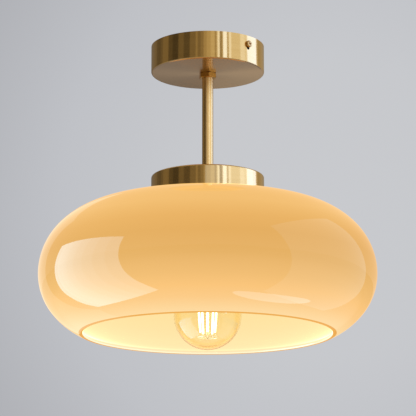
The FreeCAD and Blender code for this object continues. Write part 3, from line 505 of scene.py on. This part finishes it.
def shade_wall(inset):
    """The shade's wall from the top to the rim, moved in by an inset."""
    return [
        *arc(shoulder_r, shoulder_z, SHOULDER_ARC - inset, 90, SIDE_TURN, 24),
        *arc(side_r, equator, SIDE_ARC - inset, SIDE_TURN, 0, 28)[1:],
        *arc(lower_r, equator, LOWER_ARC - inset, 0, -LOWER_TURN, 24)[1:],
        *arc(return_r, return_z, RETURN_ARC - inset, -LOWER_TURN, -RIM_TURN, 20)[1:],
    ]


outer_wall = shade_wall(0)
inner_wall = shade_wall(SHADE_WALL)
rim_r = (outer_wall[-1][0] + inner_wall[-1][0]) / 2
rim_z = (outer_wall[-1][1] + inner_wall[-1][1]) / 2
bead = arc(rim_r, rim_z, SHADE_WALL / 2, -RIM_TURN, -RIM_TURN - 180, 12)[1:-1]
shade = spun("blown_shade", [
    (SHADE_HOLE, shade_high[2]), *outer_wall, *bead, *reversed(inner_wall),
    (SHADE_HOLE, shade_high[2] - SHADE_WALL),
], crease=50, steps=256)

# The painted glow that stands for the bulb's light from within, by height: 0 at the foot of the shade and
# 1 at its top.
OUTER_GLOW = [
    (0.00, (0.94, 0.67, 0.33)), (0.09, (0.93, 0.565, 0.22)), (0.16, (0.92, 0.53, 0.178)),
    (0.24, (0.845, 0.485, 0.155)), (0.38, (0.775, 0.435, 0.13)), (0.55, (0.76, 0.41, 0.11)),
    (0.66, (0.80, 0.435, 0.12)), (0.80, (0.87, 0.50, 0.155)), (1.00, (0.885, 0.505, 0.145)),
]
INNER_GLOW = [
    (0.00, (0.97, 0.80, 0.49)), (0.05, (0.92, 0.67, 0.37)), (0.12, (0.92, 0.72, 0.38)),
    (0.28, (0.92, 0.71, 0.35)), (0.50, (0.92, 0.69, 0.31)), (1.00, (0.92, 0.74, 0.38)),
]
RIM_GLOW = [(0.0, (0.80, 0.37, 0.05)), (0.03, (0.78, 0.36, 0.05))]
LIP_GLOW = [(0.0, (1.0, 0.90, 0.60)), (0.03, (1.0, 0.88, 0.60))]
STREAK_SHIFT = 0.015
SHADE_IOR = 1.52


def cased_glass(name, stops, rough, base):
    """Opal glass with a painted glow for the bulb's light from within: the glow follows the height, and
    faint blown streaks run through it.
    """
    material, nodes, links, glass = blank_material(name)
    place = nodes.new("ShaderNodeTexCoord")
    split = nodes.new("ShaderNodeSeparateXYZ")
    links.new(place.outputs["Object"], split.inputs[0])
    height = ranged(nodes, links, split.outputs["Z"], (shade_low[2], shade_high[2]))
    shift = sums(nodes, links, "MULTIPLY_ADD", grain(nodes, links, 9), 2 * STREAK_SHIFT, -STREAK_SHIFT)
    level = sums(nodes, links, "ADD", height, shift)
    links.new(colour_ramp(nodes, links, level, stops), glass.inputs["Emission Color"])
    glass.inputs["Emission Strength"].default_value = 1.0
    glass.inputs["Base Color"].default_value = (*base, 1)
    glass.inputs["Roughness"].default_value = rough
    glass.inputs["IOR"].default_value = SHADE_IOR
    return material


shade.data.materials.append(cased_glass("amber_glass", OUTER_GLOW, 0.03, (0.07, 0.035, 0.012)))
shade.data.materials.append(cased_glass("cream_glass", INNER_GLOW, 0.12, (0.06, 0.045, 0.02)))
shade.data.materials.append(cased_glass("rim_glass", RIM_GLOW, 0.05, (0.05, 0.03, 0.01)))
shade.data.materials.append(cased_glass("lip_glass", LIP_GLOW, 0.05, (0.06, 0.045, 0.02)))
CREAM, RIM, LIP = 1, 2, 3

# The rim's deep line, the amber casing seen edge on with a painted glow, runs from its outer edge round
# its foot, and the pale lip, a brighter painted glow, follows it inwards. Both ends are angles in degrees,
# from straight outwards and down.
RIM_REACH = 2.4 * MM
BEAD_REACH = 2.0 * MM
RIM_INWARD = 128
LIP_INWARD = 175
heart = Vector((0, 0, equator))
for face in shade.data.polygons:
    middle = face.center
    outward = math.hypot(middle.x, middle.y) - rim_r
    below = math.degrees(math.atan2(rim_z - middle.z, outward))
    from_rim = math.hypot(outward, middle.z - rim_z)
    if from_rim < RIM_REACH and 0 < below < RIM_INWARD:
        face.material_index = RIM
    elif from_rim < BEAD_REACH and RIM_INWARD <= below < LIP_INWARD:
        face.material_index = LIP
    elif face.normal.dot(middle - heart) < 0:
        face.material_index = CREAM
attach(shade, "shade_travel")
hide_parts("glass_shade")
glass_pieces.objects.link(shade)


# Gaskets and shade ring: two pale silicone washers hold the glass between the barrel's flange and a
# notched black ring that screws up the barrel from below.
silicone = worked("pale_silicone", light=(0.80, 0.79, 0.75), dark=(0.72, 0.71, 0.67), metallic=0,
                  rough=(0.4, 0.5), scale=300)
coat(silicone, "flange_gasket", "ring_gasket")
coat(holder_plastic, "shade_ring")


# Bulb's screw cap: nickel plated brass with rolled threads, a black glass insulator and a soldered tip,
# and the driver board standing inside it.
bulb_nickel = worked("nickel_plate", light=(0.76, 0.74, 0.70), dark=(0.66, 0.64, 0.60), metallic=1,
                     rough=(0.12, 0.25), scale=300, depth=0.01 * MM)
black_glass = worked("black_glass", light=(0.02, 0.02, 0.022), dark=(0.012, 0.012, 0.014), metallic=0,
                     rough=(0.05, 0.12), scale=200)
tip_solder = worked("tip_solder", light=(0.62, 0.60, 0.57), dark=(0.50, 0.48, 0.46), metallic=1,
                    rough=(0.3, 0.5), scale=700, depth=0.04 * MM)
board = worked("circuit_board", light=(0.02, 0.12, 0.04), dark=(0.01, 0.08, 0.03), metallic=0,
               rough=(0.35, 0.5), scale=900, depth=0.03 * MM)
coat(bulb_nickel, "bulb_shell")
coat(black_glass, "bulb_insulator")
coat(tip_solder, "bulb_tip")
coat(board, "bulb_driver")


# Bulb's mount: a clear glass tube drawn out to a rod, with nickel wires that carry the light sticks, a
# hoop above them and a ring below. The sticks' light on the wires is a painted glow.
MOUNT_CASTS = [(0.35, (0.93, 0.95, 0.94)), (0.95, (0.90, 0.90, 0.86))]


def clear_glass(name, casts, rough, index):
    """Clear glass with slight waves and a faint cast that deepens where it is looked at on edge."""
    material, nodes, links, glass = blank_material(name)
    waves = grain(nodes, links, 30)
    slant = nodes.new("ShaderNodeLayerWeight")
    slant.inputs["Blend"].default_value = 0.5
    uneven = sums(nodes, links, "MULTIPLY_ADD", waves, 0.06, slant.outputs["Facing"])
    links.new(colour_ramp(nodes, links, uneven, casts), glass.inputs["Base Color"])
    relief(nodes, links, glass, waves, 0.02, 0.2 * MM)
    glass.inputs["Roughness"].default_value = rough
    glass.inputs["IOR"].default_value = index
    glass.inputs["Transmission Weight"].default_value = 1.0
    return material


mount_glass = clear_glass("mount_glass", MOUNT_CASTS, rough=0.05, index=1.4)
support_nickel = worked("support_nickel", light=(0.80, 0.76, 0.68), dark=(0.72, 0.67, 0.58), metallic=1,
                        rough=(0.35, 0.5), scale=500, depth=0.01 * MM)
# A faint painted glow on the nickel wires stands for the sticks' light falling on them.
painted_glow_wire = support_nickel.node_tree.nodes["Principled BSDF"]
painted_glow_wire.inputs["Emission Color"].default_value = (1.0, 0.82, 0.45, 1)
painted_glow_wire.inputs["Emission Strength"].default_value = 0.3
coat(mount_glass, "bulb_mount")
coat(support_nickel, "bulb_support", "bulb_leads")


# Light sticks: five slim glass rods coated with phosphor over a row of chips. They lean outwards in a
# cage and are welded to the mount's wires at both ends.
STICK_COUNT = 5
STICK_RADIUS = 0.8 * MM
STICK_ROUND = 0.25 * MM
STICK_LENGTH = 36 * MM
STICK_FOOT = 15 * MM
LOW_CIRCLE = 6.7 * MM
HIGH_CIRCLE = 9.5 * MM
stick_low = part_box("bulb_globe")[0][2] + STICK_FOOT
stick_high = stick_low + math.sqrt(STICK_LENGTH ** 2 - (HIGH_CIRCLE - LOW_CIRCLE) ** 2)


def round_bar(form, start, stop, radius, ends):
    """Adds a round rod between two points, with its end edges rounded."""
    way = stop - start
    grown = bmesh.ops.create_cone(form, cap_ends=True, segments=20, radius1=radius, radius2=radius,
                                  depth=way.length)
    verts = grown["verts"]
    rings = {edge for vert in verts for edge in vert.link_edges
             if abs(edge.verts[0].co.z - edge.verts[1].co.z) < 1e-7}
    bevelled = bmesh.ops.bevel(form, geom=list(rings), offset=ends, offset_type="OFFSET", segments=3,
                               profile=0.5, affect="EDGES", material=-1)
    verts = list({vert for vert in verts if vert.is_valid} | set(bevelled["verts"]))
    turn = Vector((0, 0, 1)).rotation_difference(way.normalized()).to_matrix().to_4x4()
    bmesh.ops.transform(form, verts=verts, matrix=Matrix.Translation((start + stop) / 2) @ turn)


def cage_point(radius, level, number):
    """A point on a stick's foot or head; the first stick stands at the front."""
    angle = math.tau * number / STICK_COUNT - math.pi / 2
    return Vector((radius * math.cos(angle), radius * math.sin(angle), level))


def hot_phosphor(name):
    """Phosphor coating at work: white hot along the stick, a little uneven where the chips sit."""
    material, nodes, links, stick = blank_material(name)
    links.new(colour_ramp(nodes, links, grain(nodes, links, 700),
                          [(0.3, (1.0, 0.83, 0.45)), (0.6, (1.0, 0.90, 0.62))]),
              stick.inputs["Emission Color"])
    stick.inputs["Emission Strength"].default_value = 5.0
    stick.inputs["Base Color"].default_value = (0.9, 0.62, 0.2, 1)
    stick.inputs["Roughness"].default_value = 0.5
    return material


sticks_form = bmesh.new()
for number in range(STICK_COUNT):
    round_bar(sticks_form, cage_point(LOW_CIRCLE, stick_low, number),
              cage_point(HIGH_CIRCLE, stick_high, number), STICK_RADIUS, STICK_ROUND)
sticks = settle("light_sticks", sticks_form, 60)
dress(sticks, "bulb", hot_phosphor("hot_phosphor"), "bulb_filaments", light=glass_pieces)


# Bulb globe: thin clear glass with a faint amber cast, blown, drawn in to a neck and cemented in the
# screw cap. It casts no shadow, so the light sticks shine through it as they do through real glass.
BULB_RADIUS = 30 * MM
BULB_WALL = 1 * MM
BULB_TURN = 40
NECK_RADIUS = 14 * MM
NECK_STEP = 3 * MM
TAIL_RADIUS = 11.95 * MM
TAIL_LENGTH = 4 * MM
BULB_CASTS = [
    (0.40, (0.985, 0.95, 0.84)), (0.52, (0.985, 0.87, 0.58)), (0.85, (0.97, 0.83, 0.55)),
    (1.0, (0.93, 0.74, 0.46)),
]
globe_low, globe_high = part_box("bulb_globe")
globe_z = globe_low[2] + BULB_RADIUS
turn_cos, turn_sin = math.cos(math.radians(BULB_TURN)), math.sin(math.radians(BULB_TURN))
neck_arc = (BULB_RADIUS * turn_cos - NECK_RADIUS) / (1 - turn_cos)
neck_centre = (BULB_RADIUS + neck_arc) * turn_cos
neck_z = globe_z + (BULB_RADIUS + neck_arc) * turn_sin
skirt = globe_high[2] - TAIL_LENGTH


def globe_wall(inset):
    """The globe's wall from its foot to its neck, moved in by an inset."""
    return [
        *arc(0, globe_z, BULB_RADIUS - inset, -90, BULB_TURN, 48),
        *arc(neck_centre, neck_z, neck_arc + inset, 180 + BULB_TURN, 180, 16)[1:],
    ]


globe = spun("globe_glass", [
    *globe_wall(0), (NECK_RADIUS, skirt), (TAIL_RADIUS, skirt), (TAIL_RADIUS, globe_high[2]),
    (TAIL_RADIUS - BULB_WALL, globe_high[2]), (TAIL_RADIUS - BULB_WALL, skirt - BULB_WALL),
    (NECK_RADIUS - BULB_WALL, skirt - NECK_STEP), *reversed(globe_wall(BULB_WALL)),
], closed=False, steps=128)
globe_pieces = bpy.data.collections.new("globe_pieces")
dress(globe, "bulb", clear_glass("bulb_glass", BULB_CASTS, rough=0.0, index=1.3), "bulb_globe",
      light=globe_pieces)
globe.visible_shadow = False


# Studio: a plain pale floor far below the lamp, and a plain pale wall tone all round that falls off
# from its middle. In the brass and the glass the floor's light fades with distance and the wall is
# nearly dark, so the soft boxes draw the reflections.
FLOOR_LEVEL = -2.6
FLOOR_SIZE = 60
FLOOR_SEEN = 0.95
FLOOR_MIRRORED = (0.75, 0.15)
FADE_DISTANCES = (3.5, 14)
WALL_TONE = (0.440, 0.448, 0.476)
WALL_MIDDLE = (0.055, 0.221)
WALL_STOPS = [
    (0.0, (0.580, 0.590, 0.615)), (0.065, (0.572, 0.582, 0.608)), (0.12, (0.525, 0.536, 0.568)),
    (0.17, WALL_TONE),
]
DARK_STOPS = [(0.0, (0.015, 0.015, 0.016)), (1.0, (0.06, 0.061, 0.065))]
floor_form = bmesh.new()
bmesh.ops.create_grid(floor_form, x_segments=1, y_segments=1, size=FLOOR_SIZE / 2)
bmesh.ops.translate(floor_form, verts=floor_form.verts, vec=(0, 0, FLOOR_LEVEL))
floor = settle("floor", floor_form)
paint, nodes, links, shader = blank_material("floor_paint")
shader.inputs["Base Color"].default_value = (0.30, 0.305, 0.32, 1)
shader.inputs["Roughness"].default_value = 0.9
shader.inputs["Emission Color"].default_value = (*WALL_TONE, 1)
place = nodes.new("ShaderNodeTexCoord")
away = vector_sum(nodes, links, "LENGTH", place.outputs["Object"]).outputs["Value"]
mirrored = ranged(nodes, links, away, FADE_DISTANCES, FLOOR_MIRRORED)
rays = nodes.new("ShaderNodeLightPath")
gap = sums(nodes, links, "SUBTRACT", FLOOR_SEEN, mirrored)
links.new(sums(nodes, links, "MULTIPLY_ADD", rays.outputs["Is Camera Ray"], gap, mirrored),
          shader.inputs["Emission Strength"])
floor.data.materials.append(paint)

world = bpy.data.worlds.new("studio")
bpy.context.scene.world = world
world.use_nodes = True
nodes, links = world.node_tree.nodes, world.node_tree.links
nodes.clear()
way = nodes.new("ShaderNodeTexCoord")
split = nodes.new("ShaderNodeSeparateXYZ")
links.new(way.outputs["Generated"], split.inputs[0])
from_middle = nodes.new("ShaderNodeCombineXYZ")
for axis, source, middle in zip("XY", ("X", "Z"), WALL_MIDDLE):
    links.new(sums(nodes, links, "SUBTRACT", split.outputs[source], middle), from_middle.inputs[axis])
reach = vector_sum(nodes, links, "LENGTH", from_middle.outputs[0]).outputs["Value"]
seen = nodes.new("ShaderNodeBackground")
links.new(colour_ramp(nodes, links, reach, WALL_STOPS), seen.inputs["Color"])
around = nodes.new("ShaderNodeBackground")
back = ranged(nodes, links, split.outputs["Y"], (0.2, 0.9))
links.new(colour_ramp(nodes, links, back, DARK_STOPS), around.inputs["Color"])
rays = nodes.new("ShaderNodeLightPath")
blend = nodes.new("ShaderNodeMixShader")
links.new(rays.outputs["Is Camera Ray"], blend.inputs["Fac"])
links.new(around.outputs[0], blend.inputs[1])
links.new(seen.outputs[0], blend.inputs[2])
out = nodes.new("ShaderNodeOutputWorld")
links.new(blend.outputs[0], out.inputs["Surface"])


# Soft boxes: flat panels that face the lamp, each of which shines on some of the pieces only. Broad ones
# show in the shade, warm ones fill the bulb's clear glass, and tall narrow ones draw the upright bands
# in the brass.
def soft_box(name, centre, facing, across, width, height, colour, receivers, shape="RECTANGLE"):
    """A panel that shines along one direction on some pieces only, with its width along another."""
    light = bpy.data.lights.new(name, "AREA")
    light.shape = shape
    light.size = width
    light.size_y = height
    brightest = max(colour)
    light.color = [channel / brightest for channel in colour]
    light.energy = brightest * math.pi * width * height
    lamp = bpy.data.objects.new(name, light)
    behind = -Vector(facing).normalized()
    sideways = (Vector(across) - behind * behind.dot(Vector(across))).normalized()
    upwards = behind.cross(sideways)
    turn = Matrix((sideways, upwards, behind)).transposed().to_4x4()
    lamp.matrix_world = Matrix.Translation(centre) @ turn
    lamp.visible_camera = False
    lamp.light_linking.receiver_collection = receivers
    bpy.context.scene.collection.objects.link(lamp)


# Name, centre, facing, direction of the width, width, height, light on the shade, light on the bulb's
# globe, and the strength of each upright strip across the width.
PANELS = [
    ("left", (-1.323, 0.254, -0.818), (0.923, 0.338, 0.186), (-0.359, 0.929, 0.091), 1.82, 2.56,
     (1.9, 3.8, 4.9), (0.9, 2.6, 4.0), (0.68, 0.76, 0.84, 0.9, 0.95, 0.97, 0.92, 0.8)),
    ("right", (1.405, 0.312, -0.508), (-0.977, 0.198, 0.083), (-0.212, -0.952, -0.221), 2.24, 3.70,
     (0.2, 0.55, 0.72), (0.3, 0.6, 0.8), (1.0,)),
    ("back_left", (-0.85, 1.59, -0.40), (0.47, -0.88, 0.0), (0.88, 0.47, 0.0), 1.00, 3.00,
     (0.22, 0.34, 0.38), (0.1, 0.1, 0.1), (1.0,)),
]
for name, centre, facing, across, width, height, on_shade, on_globe, gains in PANELS:
    part = width / len(gains)
    along = Vector(across).normalized()
    for number, gain in enumerate(gains):
        place = Vector(centre) + along * (part * (number + 0.5) - width / 2)
        soft_box(f"{name}_panel_{number}", place, facing, across, part, height,
                 [channel * gain for channel in on_shade], glass_pieces)
    soft_box(name + "_globe_panel", centre, facing, across, width, height, on_globe, globe_pieces)

GLOWS = [
    ("floor_glow", (0, 0, -2.5), (0, 0, 1), (1, 0, 0), 12, 12, (0.75, 0.38, 0.09), globe_pieces),
    ("back_glow", (0, 3, -1.2), (0, -1, 0), (1, 0, 0), 6, 3, (0.86, 0.56, 0.25), globe_pieces),
    ("overhead", (0, 0, 2.6), (0, 0, -1), (1, 0, 0), 6, 6, (0.45, 0.42, 0.36), brass_pieces),
    ("ceiling_glow", (0, 0, 0.1), (0, 0, -1), (1, 0, 0), 8, 8, (0.16, 0.165, 0.175), glass_pieces),
]
for glow in GLOWS:
    soft_box(*glow)
soft_box("low_streak", (0.800, 0.180, -1.75), (0, 0, 1), (0.685, 0.728, 0), 1.4, 0.36, (0.9, 1.5, 2.0),
         glass_pieces, shape="ELLIPSE")

# Start, end and strength of each band, in degrees round the lamp from its front towards +X. The
# stronger a band is, the cooler is its light.
BANDS = [
    (-180, -150, 0.13), (-150, -126, 0.14), (-126, -110, 0.09), (-110, -103, 0.13), (-103, -86, 0.20),
    (-86, -75, 0.09), (-75, -61, 0.055), (-61, -49, 0.15), (-49, -36, 0.09), (-36, -24, 0.19),
    (-24, -20, 0.30), (-20, -14, 0.20), (-14, -8, 0.27), (-8, -2, 0.41), (-2, 6, 0.51), (6, 14, 0.62),
    (14, 18, 0.42), (18, 20, 0.75), (20, 24, 1.05), (24, 29, 0.36), (29, 31, 0.6), (31, 39, 1.2),
    (39, 43, 0.58), (43, 48, 1.05), (48, 69, 0.83), (69, 80, 1.0), (80, 87, 0.92), (87, 116, 1.3),
    (116, 121, 0.65), (121, 150, 0.37), (150, 180, 0.30),
]
BAND_DISTANCE = 2.2
BAND_LEVEL = 0.45
BAND_HEIGHT = 2.6
for number, (start, stop, strength) in enumerate(BANDS):
    bearing = math.radians((start + stop) / 2)
    outward = Vector((math.sin(bearing), -math.cos(bearing), 0))
    width = 2 * BAND_DISTANCE * math.tan(math.radians((stop - start) / 2))
    colour = (strength, strength * (0.85 + 0.33 * strength ** 2), strength * (0.6 + 1.1 * strength ** 3))
    soft_box(f"band_{number}", outward * BAND_DISTANCE + Vector((0, 0, BAND_LEVEL)), -outward,
             (math.cos(bearing), math.sin(bearing), 0), width, BAND_HEIGHT, colour, brass_pieces)
FILLS = [
    ("stem_fill", (0.752, -2.067, BAND_LEVEL), (-0.342, 0.94, 0), (0.94, 0.342, 0), 5.6,
     (0.28, 0.33, 0.50), stem_light),
    ("cap_fill", (1.685, -1.414, BAND_LEVEL), (-0.766, 0.643, 0), (0.643, 0.766, 0), 6.3,
     (0.18, 0.29, 0.66), cap_light),
]
for name, centre, facing, across, width, colour, receivers in FILLS:
    soft_box(name, centre, facing, across, width, BAND_HEIGHT, colour, receivers)


# Camera: a long lens 1.96 m from the lamp's axis, below the lamp and looking up at it, as the
# photograph was taken.
CAMERA_PLACE = (0.0003, -1.9592, -0.593)
CAMERA_RISE = 12.761
LENS = 194.9
SENSOR_WIDTH = 36
view = bpy.data.cameras.new("camera")
view.lens = LENS
view.sensor_width = SENSOR_WIDTH
camera = bpy.data.objects.new("camera", view)
camera.location = CAMERA_PLACE
camera.rotation_euler = (math.radians(90 + CAMERA_RISE), 0, 0)
bpy.context.scene.collection.objects.link(camera)
bpy.context.scene.camera = camera
bpy.context.scene.view_settings.view_transform = "Standard"
